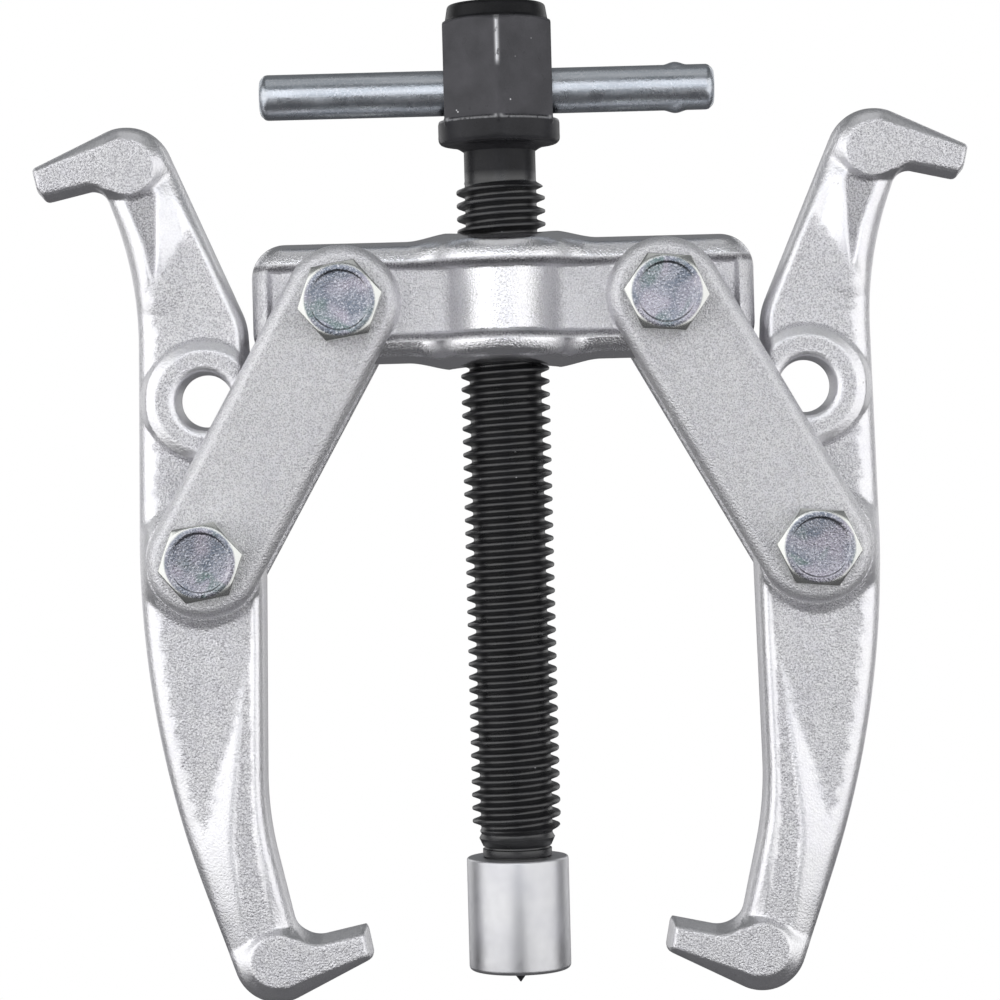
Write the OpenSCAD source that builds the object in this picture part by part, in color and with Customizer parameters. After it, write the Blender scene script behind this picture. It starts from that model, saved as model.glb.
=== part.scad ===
// Two-jaw reversible gear puller, closed to its smallest opening.
// Millimetres. Origin at the tip of the centre point, +Z up the forcing screw,
// the bolt heads facing -Y. Each half is the mirror of the other in X.

/* [Forcing screw] */
// Diameter over the thread crests
thread_d = 15.6; // [15:0.1:16]
// Axial distance from one thread to the next
thread_pitch = 2.309; // [2:0.001:2.6]
// Height of the thread's lower end above the tip
thread_z0 = 26; // [25:0.5:32]
// Height of the thread's upper end above the tip
thread_z1 = 141.4; // [138:0.1:144]
// Diameter of the plain neck and of the thread's root
root_d = 12.6; // [12.2:0.1:13]
// Diameter of the plain nose that turns inside the thrust cap
nose_d = 11.3; // [11:0.1:11.5]

/* [Screw head] */
// Diameter of the round collar under the hexagon
collar_d = 21.4; // [20:0.1:24]
// Underside of the collar
collar_z = 148; // [146.5:0.1:149]
// Distance across the flats of the hexagon
head_af = 19; // [17:1:20]
// Underside of the hexagon
hex_z = 152.1; // [151.5:0.1:152.8]
// Top of the hexagon, where the round crown begins
hex_top_z = 169.8; // [168:0.1:172]
// Top of the crown
head_top_z = 172.5; // [172:0.1:176]

/* [Tommy bar] */
// Diameter of the bar
bar_d = 8; // [7:0.5:8]
// Length of the bar
bar_len = 80; // [70:1:90]
// Height of the bar's axis above the tip
bar_z = 157.2; // [157:0.1:159]
// Distance from the middle of the bar to the screw's axis, along X
bar_shift = -2; // [-4:0.5:0]

/* [Thrust cap] */
// Outer diameter of the cap
cap_d = 18; // [17:0.5:20]
// Lower face of the cap, and length of the point that stands out of it
cap_z0 = 2.4; // [2.2:0.1:3]
// Upper rim of the cap
cap_z1 = 22.3; // [21:0.1:24]

/* [Yoke] */
// Half of the yoke's length
yoke_half_len = 44.2; // [43:0.1:44.4]
// Height of the yoke's arms
yoke_h = 21.4; // [21:0.1:23]
// Thickness of the yoke's arms, and of the jaws where links bear on them
core_t = 13; // [12:0.5:13]
// Height of the yoke's middle line above the tip
yoke_z = 120.5; // [119:0.5:122]
// Diameter of the threaded boss in the middle
boss_d = 28; // [26:0.5:30]
// Height of the threaded boss
boss_h = 24.2; // [23:0.1:26]

/* [Links] */
// Distance from the screw's axis to a link's upper pivot
link_x = 28.1; // [27.5:0.1:28.5]
// Distance between a link's two pivots
link_len = 51.1; // [50.6:0.1:52]
// Lean of the links away from the screw, in degrees
link_lean = 29.5; // [29:0.5:32]
// Width of a link
link_w = 20; // [18:0.5:20]
// Thickness of a link
link_t = 4.5; // [4:0.1:5]
// Play between a link and what it bears on, on each side
link_play = 0.2; // [0.1:0.05:0.3]

/* [Jaws] */
// Thickness of a jaw's arms between its bosses and hooks
arm_t = 11; // [9:0.5:11.5]
// Distance from the jaw's working hole to its spare hole
hole_gap = 28; // [27.5:0.5:28.5]
// Diameter of the raised ring around the spare hole
ring_d = 20.6; // [19:0.1:21]

/* [Pivot bolts] */
// Diameter of a bolt's plain shoulder
shoulder_d = 9; // [8.6:0.1:9]
// Diameter of the holes that turn on the shoulders
pivot_hole_d = 9.2; // [9.1:0.05:9.2]
// Distance across the flats of heads and nuts
bolt_af = 13; // [12:0.5:13]
// Height of a bolt's head
bolt_head_h = 5.3; // [4.5:0.1:6]
// Diameter of a bolt's threaded end
stud_d = 7.9; // [7.5:0.1:7.9]
// Height of a nut
nut_h = 6.5; // [5:0.1:7]
// Thickness of a spring washer
washer_t = 2; // [1.6:0.1:2.2]
// Turn of the left-hand bolt heads and of the right-hand ones, in degrees
head_turns = [-10, 5];

/* [Hidden] */
$fn = 64;
GAP = 0.1;        // running clearance between a turning face and its neighbour
CUT = 1;          // how far a cutting tool passes through a face
ARC_STEP = 1.5;   // longest chord along a rounded outline

LEFT = -1;
RIGHT = 1;

// Pivots of the right half, as [x, z]
yoke_pivot = [link_x, yoke_z];
jaw_pivot = yoke_pivot + link_len * [sin(link_lean), -cos(link_lean)];

// Faces along Y, from the jaw's middle plane outwards
link_y0 = core_t / 2 + link_play;
link_y1 = link_y0 + link_t;
seat_y = link_y1 + GAP;
nut_y = seat_y + washer_t;
stud_y = nut_y + nut_h + 1.5;

// Yoke
yoke_end_r = 6;           // corner radius at the yoke's ends, seen from the front
web_h = 10.9;             // height of the sunk band along the yoke
web_depth = 1.6;
web_end = 3;              // rim left at the end of the yoke
pivot_pad_d = 20;         // flat around each pivot hole
nut_thread_gap = 0.08;    // radial clearance of the boss around the thread crests

// Jaw outline in the right jaw's own plane, from its working hole: [outwards, up, corner radius]
JAW_OUTLINE = [
    [29.1, 69.5, 1.2],      // upper beak, top of the tip
    [8.3, 79.3, 8],         // shoulder above the upper beak
    [-8, 41.5, 12],         // spine beside the yoke
    [-10.3, -2, 40],        // inner edge at the pivot
    [-9.4, -45, 60],        // inner edge of the lower arm
    [-14.5, -67.7, 4.5],    // throat of the lower hook
    [-26.5, -65.1, 0.8],    // lower beak, top of the tip
    [-27.6, -70.8, 1.5],    // lower beak, bottom of the tip
    [-6.1, -81.6, 8],       // heel of the lower hook
    [12.65, -28, 177],      // bowed back of the lower arm
    [10.9, 50, 65],         // back of the upper arm
    [16.65, 66, 3.2],       // throat of the upper hook
    [26.7, 63.7, 0.8],      // upper beak, bottom of the tip
    [28.2, 65.5, 0.8]
];
spare_hole = [-0.65, hole_gap];   // from the working hole
pad_reach = 58;                   // the arms are thin this far above and below the working hole
pivot_ring_d = 22;                // full-thickness disc around the working hole

// Forcing screw
crest_w = 0.35;           // flat on top of each thread
groove_w = 0.3;           // flat at the bottom of each groove
crest_r = thread_d / 2;
root_r = root_d / 2;
flank = (thread_pitch - crest_w - groove_w) / 2;
turns = floor((thread_z1 - thread_z0) / thread_pitch);
nose_z = 7.9;             // lower end of the nose, inside the cap
neck_flare = 1.3;         // height of the flare from the neck to the collar
ball_d = 5;
pin_head_d = 5;
pin_head_z = 3.8;
pin_d = 3.6;
ball_z = 7.5;             // middle of the thrust ball
cap_floor_z = 7.5;
cap_bore_gap = 0.15;
ring_z = 15;              // height of the retaining ring
ring_wire = 1.2;
ring_mid_r = 5.75;
ring_slit = 1.6;
crown_d = 17;             // round crown on top of the hexagon
bar_gap = 0.1;            // radial clearance of the bar in the head
bar_bevel = 1.2;
stake_x = bar_len / 2 - 6.8;   // staked bumps near one end, from the bar's middle
stake_r = 2.2;
stake_out = 0.5;

// ---------- shapes that repeat ----------

function flat_point(c) = [c[0], c[1]];
function unit(a, b) = (b - a) / norm(b - a);

// Points along the arc that rounds corner q, between its neighbours p and n
function round_corner(p, q, n, r) =
    let (a = unit(q, p), b = unit(q, n),
         half = acos(a * b) / 2,
         centre = q + (a + b) / norm(a + b) * r / sin(half),
         start = q + a * r / tan(half) - centre,
         stop = q + b * r / tan(half) - centre,
         sweep = 180 - 2 * half,
         turn = sign(start[0] * stop[1] - start[1] * stop[0]),
         steps = max(2, ceil(sweep / 12), ceil(sweep * r * PI / 180 / ARC_STEP)))
    [for (i = [0 : steps])
        let (t = turn * sweep * i / steps)
        centre + [start[0] * cos(t) - start[1] * sin(t),
                  start[0] * sin(t) + start[1] * cos(t)]];

// Closed outline through corners [x, y, radius], each one rounded
function rounded(c) =
    let (n = len(c))
    [for (i = [0 : n - 1])
        each round_corner(flat_point(c[(i + n - 1) % n]), flat_point(c[i]),
                          flat_point(c[(i + 1) % n]), c[i][2])];

// Solid whose outline lies in the XZ plane, from y0 to y1
module plate(outline, y0, y1) {
    translate([0, y1, 0]) rotate([90, 0, 0])
        linear_extrude(height = y1 - y0) polygon(outline);
}

// Cylinder along Y, from y0 to y1
module rod_y(d, y0, y1, fn = 64) {
    translate([0, y0, 0]) rotate([-90, 0, 0]) cylinder(d = d, h = y1 - y0, $fn = fn);
}

// Hexagon along Y whose ends are turned to a cone, as on a forged head or a nut
module hex_y(af, y0, y1, bevel0, bevel1) {
    corner_d = af / cos(30);
    intersection() {
        rod_y(corner_d, y0, y1, 6);
        translate([0, y0, 0]) rotate([-90, 0, 0]) rotate_extrude()
            polygon([[0, 0], [corner_d / 2 - bevel0 * 1.7, 0], [corner_d / 2, bevel0],
                     [corner_d / 2, y1 - y0 - bevel1],
                     [corner_d / 2 - bevel1 * 1.7, y1 - y0], [0, y1 - y0]]);
    }
}

// Puts the right-hand half's shapes on either side
module on_side(side) {
    if (side == RIGHT) children();
    else mirror([1, 0, 0]) children();
}

module at(p) {
    translate([p[0], 0, p[1]]) children();
}

// ---------- sub-parts ----------

module yoke() {
    color([0.74, 0.75, 0.77]) difference() {
        union() {
            translate([0, 0, yoke_z]) plate(rounded([
                [-yoke_half_len, -yoke_h / 2, yoke_end_r], [yoke_half_len, -yoke_h / 2, yoke_end_r],
                [yoke_half_len, yoke_h / 2, yoke_end_r], [-yoke_half_len, yoke_h / 2, yoke_end_r]
            ]), -core_t / 2, core_t / 2);
            translate([0, 0, yoke_z - boss_h / 2]) cylinder(d = boss_d, h = boss_h);
        }
        for (face = [-1, 1]) yoke_bands(face);
        translate([0, 0, yoke_z - boss_h / 2 - CUT])
            cylinder(r = crest_r + nut_thread_gap, h = boss_h + 2 * CUT);
        for (side = [LEFT, RIGHT])
            at([side * link_x, yoke_z]) rod_y(pivot_hole_d, -core_t, core_t);
    }
}

// The sunk bands of one face, left clear around the boss and the pivots
module yoke_bands(face) {
    difference() {
        translate([0, face * core_t / 2, yoke_z])
            cube([2 * (yoke_half_len - web_end), 2 * web_depth, web_h], center = true);
        translate([0, 0, yoke_z - web_h]) cylinder(d = boss_d, h = 2 * web_h);
        for (side = [LEFT, RIGHT])
            at([side * link_x, yoke_z]) rod_y(pivot_pad_d, -core_t, core_t);
    }
}

// One link of the right half, in front of (-1) or behind (1) the jaw
module link(face) {
    y0 = face < 0 ? -link_y1 : link_y0;
    along = unit(yoke_pivot, jaw_pivot);
    across = [along[1], -along[0]] * link_w / 2;
    color([0.78, 0.79, 0.81]) difference() {
        union() {
            plate([yoke_pivot - across, jaw_pivot - across, jaw_pivot + across, yoke_pivot + across],
                  y0, y0 + link_t);
            at(yoke_pivot) rod_y(link_w, y0, y0 + link_t);
            at(jaw_pivot) rod_y(link_w, y0, y0 + link_t);
        }
        at(yoke_pivot) rod_y(pivot_hole_d, y0 - CUT, y0 + link_t + CUT);
        at(jaw_pivot) rod_y(pivot_hole_d, y0 - CUT, y0 + link_t + CUT);
    }
}

// Reversible jaw of the right half: a hook at each end, a working hole and a spare one
module jaw() {
    color([0.80, 0.81, 0.83]) at(jaw_pivot) difference() {
        union() {
            plate(rounded(JAW_OUTLINE), -core_t / 2, core_t / 2);
            at(spare_hole) rod_y(ring_d, -core_t / 2, core_t / 2);
        }
        for (face = [-1, 1]) jaw_relief(face);
        rod_y(pivot_hole_d, -core_t, core_t);
        at(spare_hole) rod_y(pivot_hole_d, -core_t, core_t);
    }
}

// What is taken off one face of the arms, between the bosses and the hooks
module jaw_relief(face) {
    difference() {
        translate([0, face * core_t / 2, 0])
            cube([4 * ring_d, core_t - arm_t, 2 * pad_reach], center = true);
        rod_y(pivot_ring_d, -core_t, core_t);
        at(spare_hole) rod_y(ring_d, -core_t, core_t);
    }
}

// Shoulder bolt along Y: head in front, threaded end behind
module pivot_bolt(turn) {
    dish_d = 10.3;
    dish_depth = 0.4;
    color([0.70, 0.73, 0.77]) {
        difference() {
            union() {
                rotate([0, turn, 0]) hex_y(bolt_af, -seat_y - bolt_head_h, -seat_y, 0.9, 0);
                rod_y(shoulder_d, -seat_y - CUT, seat_y);
                rod_y(stud_d, 0, stud_y);
            }
            rod_y(dish_d, -seat_y - bolt_head_h - CUT, -seat_y - bolt_head_h + dish_depth);
        }
    }
}

// Split spring washer between the rear link and the nut
module spring_washer() {
    outer_d = 13.6;
    slit_w = 1.2;
    color([0.68, 0.71, 0.75]) difference() {
        rod_y(outer_d, seat_y, nut_y);
        rod_y(stud_d + 0.3, seat_y - CUT, nut_y + CUT);
        translate([0, (seat_y + nut_y) / 2, outer_d / 2]) rotate([0, 0, 25])
            cube([slit_w, 4 * washer_t, outer_d], center = true);
    }
}

module hex_nut(turn) {
    color([0.70, 0.73, 0.77]) difference() {
        rotate([0, turn, 0]) hex_y(bolt_af, nut_y, nut_y + nut_h, 0.7, 0.7);
        rod_y(stud_d + GAP, nut_y - CUT, nut_y + nut_h + CUT);
    }
}

// Points [radius, height] of one thread, from the bottom of the groove below it
function thread_turn(z) = [
    [root_r, z], [root_r, z + groove_w], [crest_r, z + groove_w + flank],
    [crest_r, z + groove_w + flank + crest_w]
];

module forcing_screw() {
    corner_d = head_af / cos(30);
    crown_h = head_top_z - hex_top_z;
    color([0.13, 0.13, 0.14]) difference() {
        union() {
            rotate_extrude() polygon(concat(
                [[0, nose_z], [nose_d / 2 - 0.4, nose_z], [nose_d / 2, nose_z + 0.4],
                 [nose_d / 2, ring_z - ring_wire / 2 - GAP],
                 [ring_mid_r - ring_wire / 2 - GAP, ring_z - ring_wire / 2 - GAP],
                 [ring_mid_r - ring_wire / 2 - GAP, ring_z + ring_wire / 2 + GAP],
                 [nose_d / 2, ring_z + ring_wire / 2 + GAP],
                 [nose_d / 2, cap_z1 + 0.7]],
                [for (i = [0 : turns - 1]) each thread_turn(thread_z0 + i * thread_pitch)],
                [[root_r, thread_z0 + turns * thread_pitch], [root_r, collar_z - neck_flare],
                 [collar_d / 2 - 2.4, collar_z], [collar_d / 2 - 0.8, collar_z],
                 [collar_d / 2, collar_z + 0.8], [collar_d / 2, hex_z], [0, hex_z]]));
            intersection() {
                translate([0, 0, hex_z - 0.5]) rotate([0, 0, 90])
                    cylinder(d = corner_d, h = hex_top_z + 1 - hex_z, $fn = 6);
                translate([0, 0, hex_z - 0.5])
                    cylinder(d1 = corner_d + 40, d2 = crown_d - 1, h = hex_top_z + 1.5 - hex_z);
            }
            translate([0, 0, hex_top_z - 1]) cylinder(d = crown_d, h = crown_h);
            translate([0, 0, head_top_z - 1]) cylinder(d1 = crown_d, d2 = crown_d - 2, h = 1);
        }
        translate([0, 0, bar_z]) rotate([0, 90, 0])
            cylinder(d = bar_d + 2 * bar_gap, h = 2 * corner_d, center = true);
        translate([0, 0, ball_z]) sphere(d = ball_d + 2 * GAP);
    }
}

module tommy_bar() {
    color([0.66, 0.69, 0.73]) translate([bar_shift, 0, bar_z]) {
        rotate([0, 90, 0]) rotate_extrude() polygon([
            [0, -bar_len / 2], [bar_d / 2 - bar_bevel, -bar_len / 2],
            [bar_d / 2, bar_bevel - bar_len / 2], [bar_d / 2, bar_len / 2 - bar_bevel],
            [bar_d / 2 - bar_bevel, bar_len / 2], [0, bar_len / 2]]);
        for (up = [-1, 1])
            translate([stake_x, 0, up * (bar_d / 2 + stake_out - stake_r)]) sphere(r = stake_r);
    }
}

module thrust_cap() {
    bore_r = nose_d / 2 + cap_bore_gap;
    rim = 0.8;
    color([0.72, 0.72, 0.73]) difference() {
        rotate_extrude() polygon([
            [0, cap_z0], [cap_d / 2 - rim, cap_z0], [cap_d / 2, cap_z0 + rim],
            [cap_d / 2, cap_z1 - rim / 2], [cap_d / 2 - rim / 2, cap_z1],
            [bore_r, cap_z1], [bore_r, ring_z + ring_wire / 2 + GAP],
            [ring_mid_r + ring_wire / 2 + GAP, ring_z + ring_wire / 2 + GAP],
            [ring_mid_r + ring_wire / 2 + GAP, ring_z - ring_wire / 2 - GAP],
            [bore_r, ring_z - ring_wire / 2 - GAP], [bore_r, cap_floor_z], [0, cap_floor_z]]);
        translate([0, 0, cap_z0 - CUT]) cylinder(d = pin_d, h = 2 * cap_floor_z);
        translate([0, 0, pin_head_z]) cylinder(d = pin_head_d, h = cap_floor_z);
        translate([0, 0, ball_z]) sphere(d = ball_d);
    }
}

// Hardened point, pressed into the cap from inside and carrying the ball
module centre_point() {
    color([0.24, 0.24, 0.25]) rotate_extrude() polygon([
        [0, 0], [pin_d / 2, cap_z0], [pin_d / 2, pin_head_z], [pin_head_d / 2, pin_head_z],
        [pin_head_d / 2, ball_z - ball_d / 2], [0, ball_z - ball_d / 2]]);
}

module thrust_ball() {
    color([0.80, 0.80, 0.82]) translate([0, 0, ball_z]) sphere(d = ball_d);
}

// Open wire ring that keeps the nose in the cap
module retaining_ring() {
    color([0.55, 0.55, 0.57]) difference() {
        translate([0, 0, ring_z]) rotate_extrude()
            translate([ring_mid_r, 0]) circle(d = ring_wire, $fn = 32);
        translate([0, ring_mid_r, ring_z])
            cube([ring_slit, 3 * ring_wire, 3 * ring_wire], center = true);
    }
}

yoke();
on_side(LEFT) link(-1);  // left_link_front
on_side(LEFT) link(1);  // left_link_rear
on_side(RIGHT) link(-1);  // right_link_front
on_side(RIGHT) link(1);  // right_link_rear
on_side(LEFT) jaw();  // left_jaw
on_side(RIGHT) jaw();  // right_jaw
on_side(LEFT) at(yoke_pivot) pivot_bolt(-head_turns[0]);  // left_yoke_bolt
on_side(RIGHT) at(yoke_pivot) pivot_bolt(head_turns[1]);  // right_yoke_bolt
on_side(LEFT) at(jaw_pivot) pivot_bolt(-head_turns[0]);  // left_jaw_bolt
on_side(RIGHT) at(jaw_pivot) pivot_bolt(head_turns[1]);  // right_jaw_bolt
on_side(LEFT) at(yoke_pivot) spring_washer();  // left_yoke_washer
on_side(RIGHT) at(yoke_pivot) spring_washer();  // right_yoke_washer
on_side(LEFT) at(jaw_pivot) spring_washer();  // left_jaw_washer
on_side(RIGHT) at(jaw_pivot) spring_washer();  // right_jaw_washer
on_side(LEFT) at(yoke_pivot) hex_nut(20);  // left_yoke_nut
on_side(RIGHT) at(yoke_pivot) hex_nut(8);  // right_yoke_nut
on_side(LEFT) at(jaw_pivot) hex_nut(-14);  // left_jaw_nut
on_side(RIGHT) at(jaw_pivot) hex_nut(3);  // right_jaw_nut
forcing_screw();
tommy_bar();
thrust_cap();
centre_point();
thrust_ball();
retaining_ring();
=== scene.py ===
"""Two-jaw reversible gear puller: its looks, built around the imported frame.

Shapes are worked out in millimetres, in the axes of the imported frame, and become metres when
a mesh is made.
X runs along the yoke, Z up the forcing screw, and the bolt heads face -Y.
"""
import math

import bpy
import numpy as np
from mathutils import Matrix, Vector


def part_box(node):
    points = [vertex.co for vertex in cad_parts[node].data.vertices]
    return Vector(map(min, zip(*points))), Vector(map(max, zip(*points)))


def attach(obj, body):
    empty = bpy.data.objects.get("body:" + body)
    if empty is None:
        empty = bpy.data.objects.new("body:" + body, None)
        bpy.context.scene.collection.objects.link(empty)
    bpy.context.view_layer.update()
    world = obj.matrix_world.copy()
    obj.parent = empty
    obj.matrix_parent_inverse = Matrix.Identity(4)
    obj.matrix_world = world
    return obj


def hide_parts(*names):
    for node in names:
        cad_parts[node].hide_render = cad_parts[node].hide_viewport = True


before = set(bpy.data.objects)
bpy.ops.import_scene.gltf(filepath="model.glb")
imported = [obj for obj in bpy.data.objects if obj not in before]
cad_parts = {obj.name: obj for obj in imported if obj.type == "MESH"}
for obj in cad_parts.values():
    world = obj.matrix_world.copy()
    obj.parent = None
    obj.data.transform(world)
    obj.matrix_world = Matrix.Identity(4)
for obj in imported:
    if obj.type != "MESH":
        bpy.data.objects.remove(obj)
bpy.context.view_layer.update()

MM = 0.001
TINY = 1e-6
GUARD = 1e-9  # keeps a divisor from being zero
FAR = 1e6
LEFT = -1
RIGHT = 1
SIDES = {LEFT: "left", RIGHT: "right"}


# --- places, from the frame ---

def node_box(name):
    low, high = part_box(name)
    return np.array(low) / MM, np.array(high) / MM


def node_centre(name):
    low, high = node_box(name)
    return (low + high) / 2


yoke_pivot = node_centre("right_yoke_bolt")[[0, 2]]
jaw_pivot = node_centre("right_jaw_bolt")[[0, 2]]
yoke_low, yoke_high = node_box("yoke")
jaw_low, jaw_high = node_box("right_jaw")
link_low, link_high = node_box("right_link_front")
bolt_low, bolt_high = node_box("right_jaw_bolt")
washer_low, washer_high = node_box("right_jaw_washer")
nut_low, nut_high = node_box("right_jaw_nut")
bar_low, bar_high = node_box("tommy_bar")
screw_top = node_box("forcing_screw")[1][2]
cap_low, cap_high = node_box("thrust_cap")
ring_low, ring_high = node_box("retaining_ring")

yoke_z = (yoke_low[2] + yoke_high[2]) / 2
core_half = jaw_high[1]
bar_z = (bar_low[2] + bar_high[2]) / 2


# --- outlines and solid fields ---

def unit(v):
    return v / np.linalg.norm(v)


def corner_arc(before, corner, after, radius):
    """Start, stop, centre, half sweep and turn of the arc that rounds a corner."""
    a = unit(before - corner)
    b = unit(after - corner)
    half = math.acos(float(np.clip(a @ b, -1, 1))) / 2
    reach = radius / math.tan(half)
    centre = corner + unit(a + b) * radius / math.sin(half)
    turn = math.copysign(1, a[1] * b[0] - a[0] * b[1])
    return corner + a * reach, corner + b * reach, centre, math.pi / 2 - half, turn


class Outline:
    """Signed distance to a closed outline of straight runs and round corners, negative inside.

    The corners are (across, up, radius), anticlockwise.
    """

    def __init__(self, corners):
        points = [np.array(c[:2], float) for c in corners]
        count = len(points)
        self.arcs = []
        self.lines = []
        arcs = [corner_arc(points[i - 1], points[i], points[(i + 1) % count], corners[i][2])
                for i in range(count)]
        for i, (start, stop, centre, sweep, turn) in enumerate(arcs):
            middle = unit(points[i] - centre)
            self.arcs.append((centre, corners[i][2], middle, math.cos(sweep) - TINY, turn))
            following = arcs[(i + 1) % count][0]
            length = np.linalg.norm(following - stop)
            if length > TINY:
                self.lines.append((stop, (following - stop) / length, length))

    def __call__(self, x, z):
        best = np.full(np.broadcast(x, z).shape, FAR)
        for start, along, length in self.lines:
            dx = x - start[0]
            dz = z - start[1]
            run = dx * along[0] + dz * along[1]
            off = dx * along[1] - dz * along[0]
            good = (run > -TINY) & (run < length + TINY) & (abs(off) < abs(best))
            best = np.where(good, off, best)
        for centre, radius, middle, limit, turn in self.arcs:
            dx = x - centre[0]
            dz = z - centre[1]
            reach = np.hypot(dx, dz) + GUARD
            off = turn * (reach - radius)
            good = (dx * middle[0] + dz * middle[1] > limit * reach) & (abs(off) < abs(best))
            best = np.where(good, off, best)
        return best


def over(value):
    """The value where it is above 0, and 0 elsewhere."""
    return np.maximum(value, 0)


def round_max(a, b, radius):
    """Both solids at once, with the edge between them rounded."""
    edge = np.hypot(over(a + radius), over(b + radius))
    return np.minimum(np.maximum(a, b), -radius) + edge


def round_min(a, b, radius):
    """Either solid, with the corner between them filled."""
    return -round_max(-a, -b, radius)


def soft_max(a, b, width):
    return np.maximum(a, b) + over(width - abs(a - b)) ** 2 / (4 * width)


def soft_min(a, b, width):
    return -soft_max(-a, -b, width)


def step_up(low, high, value):
    """0 below low, 1 above high, and smooth between."""
    t = np.clip((value - low) / (high - low), 0, 1)
    return t * t * (3 - 2 * t)


def inside_share(distance, blur):
    """1 well inside an edge and 0 well outside it."""
    return 1 - step_up(-blur, blur, distance)


def hexagon(x, z, across_flats):
    """Distance to a hexagon with a corner on the Z axis."""
    half = across_flats / 2
    slant = math.cos(math.pi / 6)
    flats = [abs(x), abs(x * 0.5 + z * slant), abs(x * 0.5 - z * slant)]
    return np.maximum(np.maximum(flats[0], flats[1]), flats[2]) - half


def chamfer(reach, height, radius):
    """Distance to the cone that takes a hexagon's corners off, 30 degrees from its face."""
    return (reach - radius) * 0.5 + height * 0.866


# --- meshes ---

CELL_CORNERS = np.array([(i, j, k) for i in (0, 1) for j in (0, 1) for k in (0, 1)])
CELL_EDGES = [(a, b) for a in range(8) for b in range(a + 1, 8)
              if abs(CELL_CORNERS[a] - CELL_CORNERS[b]).sum() == 1]
SLOPE_REACH = 0.01  # how far to each side a field's slope is measured
SLOPE_FLOOR = 0.05  # smallest squared slope that a move is worked out from
SETTLE_ROUNDS = 2
RELAX_PASSES = 2


def pick(fine):
    return fine


def field_slope(field, points):
    slope = np.empty_like(points)
    for axis in range(3):
        shift = np.zeros(3)
        shift[axis] = SLOPE_REACH
        slope[:, axis] = field(*(points + shift).T) - field(*(points - shift).T)
    return slope / (2 * SLOPE_REACH)


def settle(field, points, limit):
    """Moves points onto the surface where the field is zero."""
    for _ in range(SETTLE_ROUNDS):
        slope = field_slope(field, points)
        value = field(*points.T)
        move = slope * (value / np.maximum((slope ** 2).sum(1), SLOPE_FLOOR))[:, None]
        size = np.linalg.norm(move, axis=1, keepdims=True)
        points = points - move * np.minimum(1, limit / np.maximum(size, GUARD))
    return points


def relax(points, quads):
    """Moves each point half way to the middle of its neighbours."""
    total = np.zeros_like(points)
    count = np.zeros(len(points))
    for a in range(4):
        for b in ((a + 1) % 4, (a + 3) % 4):
            for axis in range(3):
                total[:, axis] += np.bincount(quads[:, a], points[quads[:, b], axis], len(points))
            count += np.bincount(quads[:, a], minlength=len(points))
    return points * 0.5 + total / np.maximum(count, 1)[:, None] * 0.5


def net(field, low, high, step):
    """Points and quads on the surface of the solid where the field is below zero."""
    axes = [np.arange(a - 2 * step, b + 3 * step, step) for a, b in zip(low, high)]
    value = field(*np.meshgrid(*axes, indexing="ij", sparse=True))
    value = np.broadcast_to(value, [len(a) for a in axes])
    solid = value < 0
    cells = [n - 1 for n in value.shape]
    views = [solid[i:i + cells[0], j:j + cells[1], k:k + cells[2]] for i, j, k in CELL_CORNERS]
    filled = sum(v.astype(np.int8) for v in views)
    active = np.argwhere((filled > 0) & (filled < 8))
    at_corner = [value[tuple((active + c).T)] for c in CELL_CORNERS]
    total = np.zeros((len(active), 3))
    count = np.zeros(len(active))
    for a, b in CELL_EDGES:
        crosses = (at_corner[a] < 0) != (at_corner[b] < 0)
        gap = np.where(crosses, at_corner[a] - at_corner[b], 1)
        share = at_corner[a] / gap
        place = CELL_CORNERS[a] + share[:, None] * (CELL_CORNERS[b] - CELL_CORNERS[a])
        total += place * crosses[:, None]
        count += crosses
    points = np.array([a[0] for a in axes]) + (active + total / count[:, None]) * step
    number = np.full(cells, -1)
    number[tuple(active.T)] = np.arange(len(active))
    quads = []
    for axis in range(3):
        one, two = (axis + 1) % 3, (axis + 2) % 3
        first = np.moveaxis(solid, (axis, one, two), (0, 1, 2))
        cell = np.moveaxis(number, (axis, one, two), (0, 1, 2))
        change = first[:-1, 1:-1, 1:-1].astype(np.int8) - first[1:, 1:-1, 1:-1].astype(np.int8)
        i, j, k = np.nonzero(change)
        j, k = j + 1, k + 1
        quad = np.stack([cell[i, j - 1, k - 1], cell[i, j, k - 1], cell[i, j, k],
                         cell[i, j - 1, k]], 1)
        back = change[i, j - 1, k - 1] < 0
        quad[back] = quad[back][:, ::-1]
        quads.append(quad)
    return points, np.concatenate(quads)


def solid_mesh(field, low, high, step):
    """Even quads on a solid's true surface."""
    points, quads = net(field, low, high, step)
    points = settle(field, points, step)
    for _ in range(RELAX_PASSES):
        points = settle(field, relax(points, quads), step)
    return points, quads


def mirrored(points, faces):
    return points * np.array([-1, 1, 1]), [tuple(f)[::-1] for f in faces]


def joined(*parts):
    """One mesh from several closed ones."""
    points = []
    faces = []
    start = 0
    for part_points, part_faces in parts:
        points.append(part_points)
        faces += [tuple(int(i) + start for i in f) for f in part_faces]
        start += len(part_points)
    return np.concatenate(points), faces


def rings_mesh(rings):
    """Closed mesh through rings of points; a ring of one point is a pole."""
    points = np.concatenate(rings)
    starts = np.cumsum([0] + [len(r) for r in rings])
    faces = []
    for i in range(len(rings) - 1):
        a, b = starts[i], starts[i + 1]
        na, nb = len(rings[i]), len(rings[i + 1])
        n = max(na, nb)
        for j in range(n):
            k = (j + 1) % n
            face = [a + j % na, a + k % na, b + k % nb, b + j % nb]
            faces.append(tuple(dict.fromkeys(int(v) for v in face)))
    return points, faces


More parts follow.
